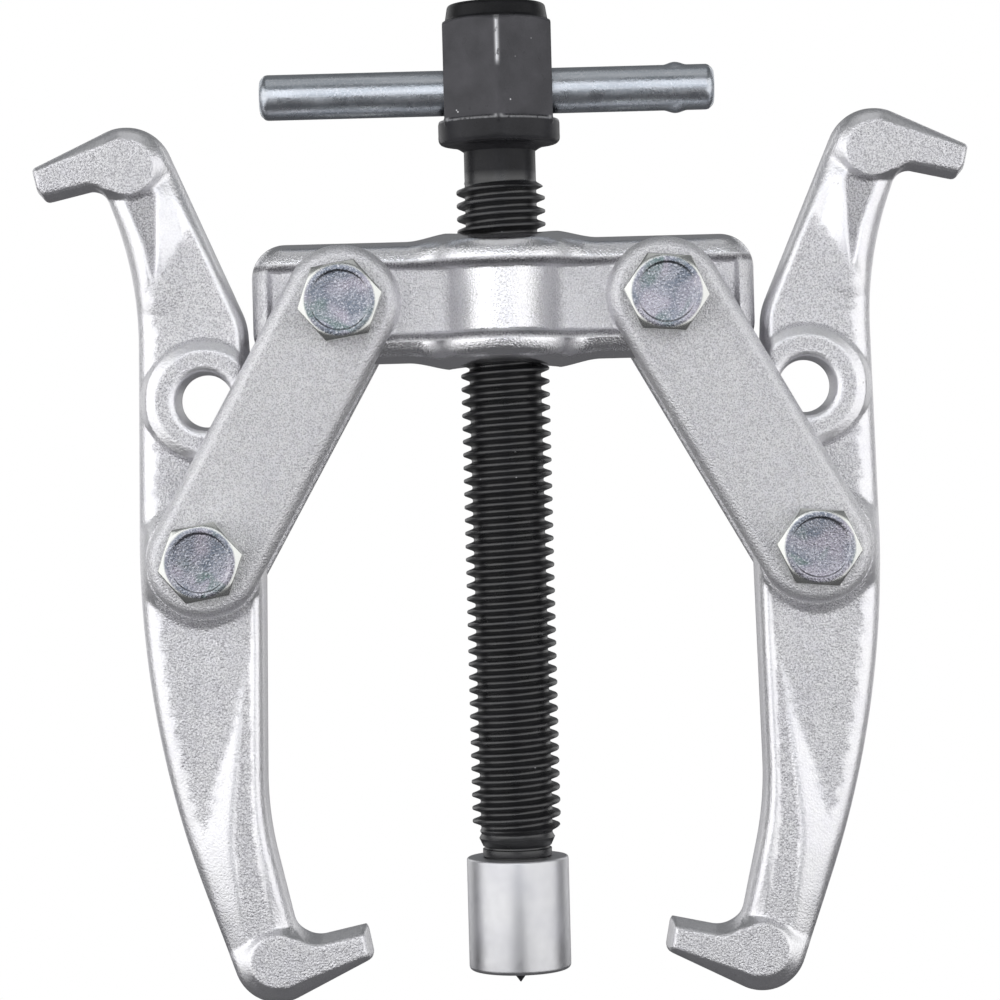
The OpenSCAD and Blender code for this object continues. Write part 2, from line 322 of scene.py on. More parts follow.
def arc_points(corners, step):
    """Points along an open line whose inner corners are rounded."""
    points = [np.array(corners[0][:2], float)]
    flat = [np.array(c[:2], float) for c in corners]
    for i in range(1, len(corners) - 1):
        radius = corners[i][2] if len(corners[i]) > 2 else 0
        if radius == 0:
            points.append(flat[i])
            continue
        start, stop, centre, sweep, turn = corner_arc(flat[i - 1], flat[i], flat[i + 1], radius)
        count = max(3, math.ceil(2 * sweep * radius / step))
        first = math.atan2(*(start - centre)[::-1])
        for t in np.linspace(0, 2 * sweep, count):
            angle = first + turn * t
            points.append(centre + radius * np.array([math.cos(angle), math.sin(angle)]))
    points.append(flat[-1])
    return points


def lathe(profile, sides):
    """Closed mesh of a profile of (radius, height) turned round the Z axis, from the bottom up."""
    angles = np.linspace(0, 2 * math.pi, sides, endpoint=False)
    rings = []
    for radius, height in profile:
        if radius < TINY:
            rings.append(np.array([[0, 0, height]]))
        else:
            rings.append(np.stack([radius * np.cos(angles), radius * np.sin(angles),
                                   np.full(sides, height)], 1))
    return rings_mesh(rings)


def add_piece(name, points, faces, body, node, slot, values=None, sharp=None):
    """Makes a piece that rides on a body and stands for a CAD node.

    values are attributes of its points, and edges over sharp degrees aren't shaded smooth.
    """
    mesh = bpy.data.meshes.new(name)
    mesh.from_pydata((points * MM).tolist(), [], [tuple(int(i) for i in f) for f in faces])
    mesh.validate()
    mesh.shade_smooth()
    for key, value in (values or {}).items():
        layer = mesh.attributes.new(key, "FLOAT", "POINT")
        layer.data.foreach_set("value", np.asarray(value, np.float32))
    if sharp:
        mesh.set_sharp_from_angle(angle=math.radians(sharp))
    mesh.materials.append(MATERIALS[slot])
    piece = bpy.data.objects.new(name, mesh)
    bpy.context.scene.collection.objects.link(piece)
    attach(piece, body)
    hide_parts(node)


# --- materials ---

MATERIALS = {}  # by the name of the slot


class Finish:
    """A Principled material and short ways to add nodes to it."""

    def __init__(self, name, metallic, roughness):
        material = bpy.data.materials.new(name)
        material.use_nodes = True
        MATERIALS[name] = material
        self.tree = material.node_tree
        self.shader = self.tree.nodes["Principled BSDF"]
        self.shader.inputs["Metallic"].default_value = metallic
        self.shader.inputs["Roughness"].default_value = roughness
        self.place = self.node("TexCoord").outputs["Object"]

    def node(self, kind, **inputs):
        """A new shader node, with its inputs given by name, _ for a space."""
        node = self.tree.nodes.new("ShaderNode" + kind)
        for key, source in inputs.items():
            self.link(source, node.inputs[key.replace("_", " ")])
        return node

    def link(self, source, target):
        """Gives a socket, or the shader's input of that name, a socket, number or colour."""
        if isinstance(target, str):
            target = self.shader.inputs[target]
        if isinstance(source, tuple):
            target.default_value = (*source, 1)
        elif isinstance(source, (int, float)):
            target.default_value = source
        else:
            self.tree.links.new(source, target)

    def stretched(self, scale):
        mapping = self.node("Mapping", Vector=self.place)
        mapping.inputs["Scale"].default_value = scale
        return mapping.outputs["Vector"]

    def noise(self, size_mm, detail=2.0, roughness=0.5, vector=None, distortion=0.0):
        node = self.node("TexNoise", Scale=1 / (size_mm * MM), Detail=detail, Roughness=roughness,
                         Distortion=distortion, Vector=vector or self.place)
        return node.outputs["Fac"]

    def cells(self, size_mm):
        node = self.node("TexVoronoi", Scale=1 / (size_mm * MM), Vector=self.place)
        return node.outputs["Distance"]

    def value(self, name):
        node = self.node("Attribute")
        node.attribute_name = name
        return node.outputs["Fac"]

    def math(self, operation, a, b):
        node = self.node("Math")
        node.operation = operation
        self.link(a, node.inputs[0])
        self.link(b, node.inputs[1])
        return node.outputs[0]

    def ramp(self, source, low, high, out_low=0.0, out_high=1.0):
        """Maps low..high to out_low..out_high, clamped."""
        node = self.node("MapRange", From_Min=low, From_Max=high, To_Min=out_low, To_Max=out_high,
                         Value=source)
        return node.outputs["Result"]

    def mix(self, factor, a, b):
        node = self.node("Mix")
        node.data_type = "RGBA"
        self.link(factor, node.inputs[0])
        self.link(a, node.inputs[6])
        self.link(b, node.inputs[7])
        return node.outputs[2]

    def bump(self, height, depth_mm, strength):
        node = self.node("Bump", Distance=depth_mm * MM, Strength=strength, Height=height)
        return node.outputs["Normal"]


ZINC_TINTS = ((0.985, 0.98, 1.0), (0.94, 0.935, 0.97))
ZINC_CLOUD = (0.98, 0.978, 0.99)
FLECK_GREY = (0.40, 0.39, 0.42)
# painted shade, for corners and the jaw's pocket
PAINTED_SHADE_GREY = (0.20, 0.195, 0.21)
PIT_GREY = (0.35, 0.34, 0.34)


def blasted_zinc(name, grain_mm, smooth, grainy, depth, fleck):
    """Zinc plate over a shot-blasted forging.

    'grain' is 0 on bright rims, 1 on flecked flats and 2 in corners, where shade is
    painted as dark grey. smooth and grainy are the roughness at 0 and 1, depth is the bump's in
    mm, and fleck is how dark the flecks are.
    """
    f = Finish(name, 1.0, grainy)
    grain = f.value("grain")
    tint = f.mix(f.ramp(f.noise(9, 2), 0.35, 0.65), *ZINC_TINTS)
    cloud = f.mix(f.ramp(f.noise(2.2, 3), 0.4, 0.75), tint, ZINC_CLOUD)
    dark = f.ramp(f.noise(grain_mm * 0.8, 2, 0.5), 0.36, 0.57, 1.0, 0.0)
    speckle = f.math("MULTIPLY", dark, f.ramp(grain, 0.0, 1.0, 0.04, fleck))
    flecked = f.mix(speckle, cloud, FLECK_GREY)
    # painted shade: above 1 the flecks run together into dark grey, standing for shade in corners
    corner = f.math("MULTIPLY", f.ramp(dark, 0.0, 1.0, 0.55, 1.0), f.ramp(grain, 1.0, 2.0))
    flecked = f.mix(corner, flecked, PAINTED_SHADE_GREY)
    spots = f.ramp(f.cells(2.4), 0.0, 0.12, 1.0, 0.0)
    pit = f.math("MULTIPLY", spots, f.ramp(f.noise(3.1, 0), 0.5, 0.6))
    f.link(f.mix(f.math("MULTIPLY", pit, 0.7), flecked, PIT_GREY), "Base Color")
    rough = f.ramp(grain, 0.0, 1.0, smooth, grainy)
    f.link(f.math("ADD", rough, f.ramp(f.noise(1.6, 2), 0.3, 0.7, -0.03, 0.03)), "Roughness")
    strength = f.ramp(grain, 0.0, 1.0, 0.12, 1.0)
    f.link(f.bump(f.noise(grain_mm, 2, 0.6), depth, strength), "Normal")


BOLT_TINTS = ((0.19, 0.215, 0.26), (0.38, 0.36, 0.415))
BOLT_GREEN = (0.18, 0.235, 0.235)
BOLT_PALE = (0.48, 0.48, 0.53)
BOLT_DOT = (0.64, 0.64, 0.68)
BOLT_FLANK = (0.80, 0.81, 0.78)


def speckled_zinc(name):
    """Blue-white zinc: plain where 'grain' is 0, and where it is 1, crystals with rainbow tints."""
    f = Finish(name, 1.0, 0.22)
    grain = f.value("grain")
    hue = f.mix(f.ramp(f.noise(5, 1), 0.40, 0.60), *BOLT_TINTS)
    hue = f.mix(f.ramp(f.noise(6, 1, distortion=1.0), 0.54, 0.66), hue, BOLT_GREEN)
    hue = f.mix(f.ramp(f.noise(2.6, 3, 0.6), 0.42, 0.68, 0.0, 0.55), hue, BOLT_PALE)
    dots = f.ramp(f.noise(0.34, 1, 0.6), 0.50, 0.72, 0.0, 0.8)
    face = f.mix(dots, hue, BOLT_DOT)
    f.link(f.mix(grain, BOLT_FLANK, face), "Base Color")
    f.link(f.bump(f.noise(0.45, 2, 0.6), 0.10, f.ramp(grain, 0.0, 1.0, 0.03, 0.8)), "Normal")


def streaked_zinc(name):
    """Drawn and zinc-plated bar, with streaks along it."""
    f = Finish(name, 1.0, 0.2)
    streak = f.noise(0.8, 2, vector=f.stretched((0.05, 1, 1)))
    tint = f.mix(f.ramp(streak, 0.38, 0.62), (0.52, 0.56, 0.61), (0.66, 0.69, 0.735))
    dots = f.ramp(f.noise(0.45, 2, 0.6), 0.52, 0.72)
    f.link(f.mix(dots, tint, (0.72, 0.74, 0.78)), "Base Color")
    f.link(f.ramp(f.noise(2.5, 2), 0.3, 0.7, 0.22, 0.34), "Roughness")
    f.link(f.bump(f.noise(0.5, 2, 0.6), 0.05, 0.7), "Normal")


OXIDE_TINTS = ((0.008, 0.008, 0.009), (0.015, 0.015, 0.017))
DUSTY_TINTS = ((0.066, 0.065, 0.071), (0.093, 0.091, 0.100))
# bare steel for specks and rubbed spots, and also for a painted highlight
BARE_STEEL_AND_HIGHLIGHT = (0.72, 0.72, 0.74)


def black_oxide(name):
    """Blackened steel: 'gloss' on the threads, 'matt' on the hexagon, and bare steel on rubbed
    spots and on a painted highlight down the hexagon's front corner.
    """
    f = Finish(name, 0.0, 0.42)
    cloud = f.ramp(f.noise(5, 3), 0.35, 0.7)
    sleek = f.mix(cloud, *OXIDE_TINTS)
    dusty = f.mix(cloud, *DUSTY_TINTS)
    base = f.mix(f.value("matt"), sleek, dusty)
    specks = f.ramp(f.cells(2.6), 0.03, 0.07, 1.0, 0.0)
    speck = f.math("MULTIPLY", specks, f.ramp(f.noise(2.0, 0), 0.58, 0.62))
    # rubbed bare steel, and the painted highlight on the hexagon's front corner
    wear_and_highlight_marks = f.math("MULTIPLY", f.value("wear_and_highlight"), f.ramp(f.noise(0.7, 3), 0.30, 0.42))
    bright = f.math("MAXIMUM", speck, wear_and_highlight_marks)
    f.link(f.mix(bright, base, BARE_STEEL_AND_HIGHLIGHT), "Base Color")
    f.link(f.math("MULTIPLY", bright, 0.9), "Metallic")
    f.link(f.ramp(f.noise(3.5, 3), 0.3, 0.7, 0.25, 0.38), "Roughness")
    f.link(f.bump(f.noise(0.35, 2, 0.6), 0.04, 0.6), "Normal")
    f.link(f.ramp(f.value("gloss"), 0.0, 1.0, 0.17, 1.0), "Specular IOR Level")


def turned_steel(name):
    """Satin steel with fine turning lines around the axis."""
    f = Finish(name, 1.0, 0.3)
    tint = f.mix(f.ramp(f.noise(7, 2), 0.35, 0.65), (0.67, 0.67, 0.695), (0.72, 0.72, 0.735))
    f.link(tint, "Base Color")
    lines = f.noise(0.12, 3, 0.7, vector=f.stretched((0.03, 0.03, 1)))
    f.link(f.ramp(f.noise(1.4, 3), 0.3, 0.7, 0.33, 0.42), "Roughness")
    f.link(f.bump(lines, 0.012, 0.6), "Normal")


def plain_steel(name, dark, light, roughness):
    """Ground steel, mottled between two tones."""
    f = Finish(name, 1.0, roughness)
    f.link(f.mix(f.ramp(f.noise(1.2, 3), 0.35, 0.65), dark, light), "Base Color")
    f.link(f.bump(f.noise(0.3, 2), 0.01, 0.5), "Normal")


blasted_zinc("yoke_zinc", grain_mm=0.34, smooth=0.14, grainy=0.38, depth=0.30, fleck=0.42)
blasted_zinc("link_zinc", grain_mm=0.32, smooth=0.38, grainy=0.52, depth=0.34, fleck=0.58)
blasted_zinc("jaw_zinc", grain_mm=0.38, smooth=0.33, grainy=0.48, depth=0.34, fleck=0.66)
speckled_zinc("bolt_zinc")
speckled_zinc("washer_zinc")
black_oxide("black_oxide")
streaked_zinc("bar_zinc")
turned_steel("turned_steel")
plain_steel("dark_steel", (0.10, 0.10, 0.105), (0.22, 0.22, 0.23), 0.35)
plain_steel("ball_steel", (0.74, 0.74, 0.76), (0.82, 0.82, 0.84), 0.12)
plain_steel("ring_steel", (0.42, 0.42, 0.44), (0.55, 0.55, 0.57), 0.35)


# --- jaws ---

# points are (across, up) from the working hole; outlines add the corner's radius
JAW_OUTLINE = [
    (29.1, 69.5, 1.2), (8.3, 79.3, 8), (-8, 41.5, 12), (-10.3, -2, 40), (-9.4, -45, 60),
    (-14.5, -67.7, 4.5), (-26.5, -65.1, 0.8), (-27.6, -70.8, 1.5), (-6.1, -81.6, 8),
    (12.65, -28, 177), (10.9, 50, 65), (16.65, 66, 3.2), (26.7, 63.7, 0.8), (28.2, 65.5, 0.8),
]
SPARE_HOLE = (-0.65, 28)
HOLE_R = 4.6
HOLE_BEVEL = 0.4
DRAFT = math.tan(math.radians(6))
FLASH_HALF = 0.8  # half width of the trimmed band round the jaw's edge
EDGE_R = 1.8  # the edges' radius, and how much less it is on the hooks
HOOK_EDGE_CUT = 0.8
HOOK_SPAN = (52, 68)  # heights over which an arm becomes a hook, its edges get sharper,
EDGE_SPAN = (56, 66)  # and its pad's inner edge gives way to the outer one
PAD_SPAN = (61.5, 70.5)
JAW_STEP = 0.38  # size of the mesh's quads

# heights of a face's parts above the jaw's middle plane
FLOOR_LEVEL = core_half - 1.3
RIM_LEVEL = core_half - 0.7
CREST_LEVEL = RIM_LEVEL + 0.15
LEAST_CREST = FLOOR_LEVEL - 0.7
GROOVE_LEVEL = core_half - 1.2
POCKET_LEVEL = core_half - 1.9
HOOK_LEVEL = core_half - 1.1

# widths, and slopes in millimetres per millimetre
LOWER_RIM_W = 1.9
UPPER_RIM_W = 1.2
RIM_SLOPE = 0.55
LOWER_RISE = 0.2  # the smooth ramps that lead to the hooks
UPPER_RISE = 0.28
GROOVE_SLOPE = 0.45
GROOVE_WALL = 0.5  # how far inside their outlines the walls of groove and pocket start
POCKET_WALL = 0.7
BACK_FALL = 0.3  # the bowed back
BACK_W = 3.2
HOOK_FALL = 0.75  # the hooks, towards their outline
HOOK_W = 3.1
HOOK_DROP = 0.6  # how far rims and crests sink towards a hook
PAD_SLOPE = 0.72  # the pads' edges, and how much more on the arm's side
PAD_STEP = 1.3
THROAT_R = 4.6  # the spare hole's forged dish: throat, mouth, flat ring and its slope
THROAT_FLARE = 0.11
DISH_MOUTH = 6.1
RING_R = 8.6
RING_SLOPE = 0.45
RING_SKIRT_W = 1.8
RING_SKIRT_SLOPE = 1.2
SEAT_R = 10.2  # the flat round the working hole
SEAT_SLOPE = 1.1

jaw_outline = Outline(JAW_OUTLINE)
groove = Outline([
    (-7.3, -12, 0.1), (-6.9, -49, 60), (-9.6, -63, 3), (-10.4, -66.5, 0.8), (-5.2, -66.5, 0.8),
    (-3.8, -49, 30), (-6.1, -22, 8),
])
pocket = Outline([(7.6, 47.5, 0.1), (9.4, 56, 14), (13.0, 64.5, 0.8), (6.9, 65, 0.8)])
lower_pad = Outline([(-10.7, -67.7, 0.4), (-31, -62.6, 0.4), (-29.5, -68.4, 0.4), (-12, -74.9, 0.4)])
upper_pad = Outline([(11.9, 66.3, 0.4), (32, 61.2, 0.4), (30, 68.0, 0.4), (12.6, 74.0, 0.4)])
LOWER_DISC = (-10.7, -70.4, 4.5)
UPPER_DISC = (11.9, 69.1, 4.7)
LOWER_RAMP = ((-6.2, -21), (2.2, -48.5))  # the line where the lower ramp starts to rise
UPPER_RAMP = ((0.8, 57.9), (7.7, 48.9))


def disc(x, z, centre):
    return np.hypot(x - centre[0], z - centre[1]) - centre[2]


def pads(x, z):
    """Distance to the flat pads of both hooks."""
    low = round_min(lower_pad(x, z), disc(x, z, LOWER_DISC), 1.0)
    high = round_min(upper_pad(x, z), disc(x, z, UPPER_DISC), 1.0)
    return np.minimum(low, high)


def past_line(x, z, line):
    """Distance past a line, on its right-hand side going from its first point to its second."""
    (x0, z0), (x1, z1) = line
    length = math.hypot(x1 - x0, z1 - z0)
    return ((x - x0) * (z1 - z0) - (z - z0) * (x1 - x0)) / length


def past_ramp(x, z):
    """Distance past the foot of the ramp on the same arm."""
    return np.where(z < 0, past_line(x, z, LOWER_RAMP), -past_line(x, z, UPPER_RAMP))


def rim_width(z):
    return np.where(z < 0, LOWER_RIM_W, UPPER_RIM_W)


def outer_share(x, z):
    """1 on the bowed back's side of the arms and 0 on the spine's side."""
    bend = np.sign(z) * 0.009 * over(abs(z) - 35) ** 2
    return step_up(-2.5, 2.5, x - bend)


def arm_level(x, z, inward, hook):
    """Height of the arms: their floor, ramps, crests, rims and bowed back."""
    back = outer_share(x, z)
    past = over(past_ramp(x, z))
    hollow = over(np.where(z < 0, groove(x, z), pocket(x, z)))
    rise = np.where(z < 0, LOWER_RISE, UPPER_RISE)
    crest = np.maximum(CREST_LEVEL - rise * hollow - HOOK_DROP * hook, LEAST_CREST)
    level = soft_min(FLOOR_LEVEL + rise * past, crest, width=0.5)
    level = level - back * BACK_FALL * soft_max(BACK_W - inward, 0, width=1.2)
    rim = RIM_LEVEL - RIM_SLOPE * soft_max(inward - rim_width(z), 0, width=1.2) - 3 * back
    return soft_max(level, rim - HOOK_DROP * hook, width=0.5)


def hook_level(x, z, level, inward, hook):
    """The level lowered towards the hooks' outline, and raised to their flat pads."""
    around = HOOK_LEVEL - HOOK_FALL * soft_max(HOOK_W - inward, 0, width=1.5)
    level = soft_min(level, around + 2.5 * (1 - hook), width=1.3)
    slope = PAD_SLOPE + PAD_STEP * (1 - step_up(*PAD_SPAN, abs(z)))
    return soft_max(level, core_half - slope * over(pads(x, z)), width=0.45)


def from_spare(x, z):
    return np.hypot(x - SPARE_HOLE[0], z - SPARE_HOLE[1])


def jaw_level(x, z, edge):
    """Height of the jaw's face above its middle plane."""
    hook = step_up(*HOOK_SPAN, abs(z))
    level = arm_level(x, z, -edge, hook)
    groove_wall = GROOVE_SLOPE * over(groove(x, z) + GROOVE_WALL)
    level = soft_min(level, GROOVE_LEVEL + groove_wall, width=0.6)
    level = soft_min(level, POCKET_LEVEL + over(pocket(x, z) + POCKET_WALL), width=0.5)
    level = hook_level(x, z, level, -edge, hook)
    past_ring = from_spare(x, z) - RING_R
    ring = core_half - RING_SLOPE * over(past_ring)
    ring = ring - RING_SKIRT_SLOPE * over(past_ring - RING_SKIRT_W)
    seat = core_half - SEAT_SLOPE * over(np.hypot(x, z) - SEAT_R)
    level = soft_max(soft_max(level, ring, width=0.15), seat, width=0.4)
    return soft_min(level, core_half, width=0.2)


def bored(field, x, z, side):
    """The solid with a pivot's bevelled hole; side is the height above the nearer face."""
    reach = np.hypot(x, z)
    cone = (HOLE_R + HOLE_BEVEL - reach + side) / math.sqrt(2)
    return np.maximum(field, round_max(HOLE_R - reach, cone, 0.01))


def jaw_field(x, y, z):
    """The right jaw, from its working hole."""
    edge = jaw_outline(x, z)
    depth = abs(y)
    wall = edge + over(depth - FLASH_HALF) * DRAFT
    face = (depth - jaw_level(x, z, edge)) * 0.9
    solid = round_max(wall, face, EDGE_R - HOOK_EDGE_CUT * step_up(*EDGE_SPAN, abs(z)))
    side = depth - core_half
    spare = from_spare(x, z)
    dish = (DISH_MOUTH - spare) * 0.46 + side * 0.89
    solid = soft_max(solid, np.maximum(dish, side - 1), width=0.3)
    throat = THROAT_R + THROAT_FLARE * over(depth - 1.0)
    solid = round_max(solid, throat - spare, 0.3)
    return bored(solid, x, z, side)


WALL_GRAIN = 0.3
LEAST_GRAIN = 0.15


def jaw_grain_and_shade(x, z):
    """1 on the blasted flats, low on smooth rims and slopes, and above 1 in the pocket, where
    shade is painted.

    wander keeps the border of a smooth slope from being a straight line.
    """
    inward = -jaw_outline(x, z)
    back = outer_share(x, z)
    wander = 0.35 * np.sin(x * 1.7 + z * 0.9) + 0.25 * np.sin(z * 2.3 - x * 0.8)
    rim_w = rim_width(z)
    flat = step_up(rim_w + 0.4, rim_w + 0.9, inward) * (1 - back)
    flat = flat + step_up(2.4, 4.2, inward + wander) * back
    flat = flat * (1 - 0.9 * step_up(-1.0, 1.2, past_ramp(x, z) + wander))
    spare = from_spare(x, z)
    flat = flat * step_up(10.2, 10.6, spare)
    ring = np.maximum(spare - RING_R, DISH_MOUTH + 0.2 - spare)
    parts = [groove(x, z) + 0.3 * wander, pocket(x, z), pads(x, z), ring, np.hypot(x, z) - 10.4]
    evenly = np.max([flat] + [inside_share(p, 0.35) for p in parts], axis=0)
    # painted shade: the pocket is lifted above 1, so its flecks darken to grey
    return evenly + 0.5 * inside_share(pocket(x, z) + 0.4, 0.5)


def make_jaws():
    origin = np.array([jaw_pivot[0], 0, jaw_pivot[1]])
    low = jaw_low - origin
    high = jaw_high - origin
    points, quads = solid_mesh(jaw_field, low, high, pick(JAW_STEP))
    points = np.clip(points, low, high)
    grain = jaw_grain_and_shade(points[:, 0], points[:, 2])
    wall = jaw_outline(points[:, 0], points[:, 2]) > -1.2
    grain = np.where(wall, WALL_GRAIN, np.maximum(grain, LEAST_GRAIN))
    points = points + origin
    for side, word in SIDES.items():
        placed = (points, quads) if side == RIGHT else mirrored(points, quads)
        name = f"{word}_jaw"
        add_piece(f"{name}_forging", *placed, name, name, "jaw_zinc", {"grain": grain})


# --- yoke ---

ARM_HALF_H = 10.7
BOSS_SPAN = (8.5, 17)  # distances from the middle over which the boss sinks to the arm
BOSS_FILLET = 2.0
YOKE_FLASH_HALF = 0.6
YOKE_CORNER_R = 6
FLANGE_ROLL = 3.9  # radius rolled onto the yoke's outer edges
WEB_HALF_H = 5.3
WEB_STEP_W = 1.3  # width of the step from the sunk band up to a flange
WEB_STOP = 3.9  # distances from the yoke's end over which the band ends
WEB_STOP_END = 2.7
WEB_BOSS_X = 10.5  # half axes of the sunk band's bulge round the bore
WEB_BOSS_Y = 12.4
WEB_SINK = 1.6
FLANGE_CREST_Z = 8.2
PIVOT_SPAN = (9.4, 10.4)  # distances from a pivot over which its flat sinks to the band
BOSS_BORE_R = 7.9
BORE_MOUTH_R = 9.6
YOKE_STEP = 0.36


def yoke_field(x, y, z):
    """The yoke, from its centre."""
    depth = abs(y)
    boss_r = yoke_high[1]
    half_len = yoke_high[0]
    boss_half_h = (yoke_high[2] - yoke_low[2]) / 2
    plan = round_min(depth - core_half, np.hypot(x, y) - boss_r, BOSS_FILLET)
    extra = (boss_half_h - ARM_HALF_H) * (1 - step_up(*BOSS_SPAN, abs(x)))
    dx = abs(x) - (half_len - YOKE_CORNER_R)
    dz = abs(z) - (ARM_HALF_H + extra - YOKE_CORNER_R)
    front = np.hypot(over(dx), over(dz)) + np.minimum(np.maximum(dx, dz), 0)
    front = front - YOKE_CORNER_R + over(depth - YOKE_FLASH_HALF) * DRAFT
    band = 1 - step_up(WEB_HALF_H, WEB_HALF_H + WEB_STEP_W, abs(z))
    ends = 1 - step_up(half_len - WEB_STOP, half_len - WEB_STOP_END, abs(x))
    pad = step_up(*PIVOT_SPAN, np.hypot(abs(x) - yoke_pivot[0], z))
    sunk = band * ends * pad
    hump = (np.hypot(x * WEB_BOSS_Y / WEB_BOSS_X, y) - WEB_BOSS_Y) * 0.85
    web = round_min(depth - core_half + WEB_SINK, hump, 1.3)
    solid = round_max(front, plan * (1 - sunk) + web * sunk, FLANGE_ROLL)
    mouth = over(abs(z) - (boss_half_h - (BORE_MOUTH_R - BOSS_BORE_R)))
    bore = BOSS_BORE_R + mouth - np.hypot(x, y)
    solid = round_max(solid, bore * 0.85, 0.3)
    for side in SIDES:
        solid = bored(solid, x - side * yoke_pivot[0], z, depth - core_half)
    return solid


def yoke_grain_and_shade(x, y, z):
    """The sunk band is blasted, the flanges are smoother, and shade is painted into the
    corners between.
    """
    band = inside_share(abs(z) - WEB_HALF_H - 0.3, 0.4)
    crest = inside_share(abs(abs(z) - FLANGE_CREST_Z) - 0.7, 1.0) * 0.55
    boss = 1 - 0.65 * (1 - step_up(6, 9, abs(x)))
    # painted shade along the step from the sunk band up to each flange
    corner = inside_share(abs(abs(z) - WEB_HALF_H - 1.0) - 0.65, 0.4)
    return np.max([band * boss, crest, 2 * corner], axis=0)


def make_yoke():
    centre = np.array([0, 0, yoke_z])
    low = yoke_low - centre
    high = yoke_high - centre
    points, quads = solid_mesh(yoke_field, low, high, pick(YOKE_STEP))
    add_piece("yoke_forging", points + centre, quads, "yoke", "yoke", "yoke_zinc",
              {"grain": yoke_grain_and_shade(*points.T)})


# --- links ---

LINK_W = 20
LINK_ROLL = 2.7  # radius rolled onto the outer edges
LINK_EDGE = 0.4  # radius of the edges next to the jaw
LINK_STEP = 0.36
LINK_RIM_GRAIN = 0.6


def make_links():
    length = float(np.linalg.norm(jaw_pivot - yoke_pivot))
    thick = link_high[1] - link_low[1]
    lean = math.atan2(jaw_pivot[0] - yoke_pivot[0], yoke_pivot[1] - jaw_pivot[1])

    def field(x, y, z):
        """A link that hangs down from its yoke pivot; y runs from its inner face outwards."""
        down = np.clip(-z, 0, length)
        edge = np.hypot(x, z + down) - LINK_W / 2
        solid = round_max(edge, y - thick, LINK_ROLL)
        solid = round_max(solid, -y, LINK_EDGE)
        face = abs(y - thick / 2) - thick / 2
        for hole in (0, -length):
            solid = bored(solid, x, z - hole, face)
        return solid

    low = np.array([-LINK_W / 2, 0, -length - LINK_W / 2])
    high = np.array([LINK_W / 2, thick, LINK_W / 2])
    points, quads = solid_mesh(field, low, high, pick(LINK_STEP))
    down = np.clip(-points[:, 2], 0, length)
    edge = np.hypot(points[:, 0], points[:, 2] + down) - LINK_W / 2
    grain = np.maximum(inside_share(edge + 1.6, 0.8), LINK_RIM_GRAIN)
    x, y, z = points.T
    across = x * math.cos(lean) - z * math.sin(lean)
    up = x * math.sin(lean) + z * math.cos(lean)
    for side, word in SIDES.items():
        for place, face in (("front", -1), ("rear", 1)):
            node = f"{word}_link_{place}"
            inner = node_box(node)[face < 0][1]
            placed = np.stack([yoke_pivot[0] + across, inner + face * y, yoke_z + up], 1)
            faces = quads[:, ::face]
            if side == LEFT:
                placed, faces = mirrored(placed, faces)
            add_piece(f"{node}_plate", placed, faces, f"{word}_links", node, "link_zinc",
                      {"grain": grain})


# --- forcing screw ---

THREAD_PITCH = 2.309
CREST_R = 7.8
ROOT_R = 6.3
THREAD_LOW = 26.4
THREAD_TOP = 141.6
NOSE_R = 5.65
NOSE_LOW = 7.9
COLLAR_R = 10.7
COLLAR_Z = 148
HEX_Z = 152.1
HEX_TOP = 169.8
HEAD_AF = 19
CROWN_LOW_R = 9.05
CROWN_TOP_R = 8.6
SCREW_SIDES = 80
THREAD_ROWS = 14  # rings of points in one turn of the thread
HEAD_STEP = 0.3
HEX_REACH = 0.58  # just over half a hexagon's width across corners, for 1 across flats
GROOVE_SHARE = 0.26  # share of the pitch that is flat in the groove, and on the crest
CREST_SHARE = 0.24
NECK_MATT = 0.17
COLLAR_MATT = 0.3

# (radius, height) from the bottom up: the nose with its ring's groove, and the neck
NOSE_RINGS = [
    (0, NOSE_LOW), (NOSE_R - 0.4, NOSE_LOW), (NOSE_R, NOSE_LOW + 0.4), (NOSE_R, 14.3),
    (NOSE_R - 0.6, 14.3), (NOSE_R - 0.6, 15.7), (NOSE_R, 15.7), (NOSE_R, 22.45), (6.0, 22.5),
    (6.1, 22.65), (6.1, 23.75), (5.8, 23.9), (5.75, 24.15), (6.05, 24.3), (6.7, 25.7), (6.55, 25.95),
]
NECK_RINGS = [
    (ROOT_R, THREAD_TOP + 1.5), (ROOT_R, COLLAR_Z - 1.2),
    (ROOT_R + 0.5, COLLAR_Z - 0.8), (ROOT_R + 0.5, COLLAR_Z + 1), (0, COLLAR_Z + 1),
]


def welded(points, faces):
    """The mesh with points that coincide made one, and faces that vanish left out."""
    rounded = np.round(points, 4)
    _, first, back = np.unique(rounded, axis=0, return_index=True, return_inverse=True)
    back = back.reshape(-1)
    kept = []
    for face in faces:
        ring = list(dict.fromkeys(int(back[i]) for i in face))
        if len(ring) > 2:
            kept.append(ring)
    return points[first], kept


def thread_share(phase, pitch):
    """How far out a thread stands, from 0 in the groove, where phase is 0, to 1 on the crest."""
    groove_w = GROOVE_SHARE * pitch
    flank = (pitch - groove_w - CREST_SHARE * pitch) / 2
    off = abs((phase + 0.5) % 1 - 0.5) * pitch
    raw = (off - groove_w / 2) / flank
    return soft_min(soft_max(raw, 0, width=0.20), 1, width=0.14)


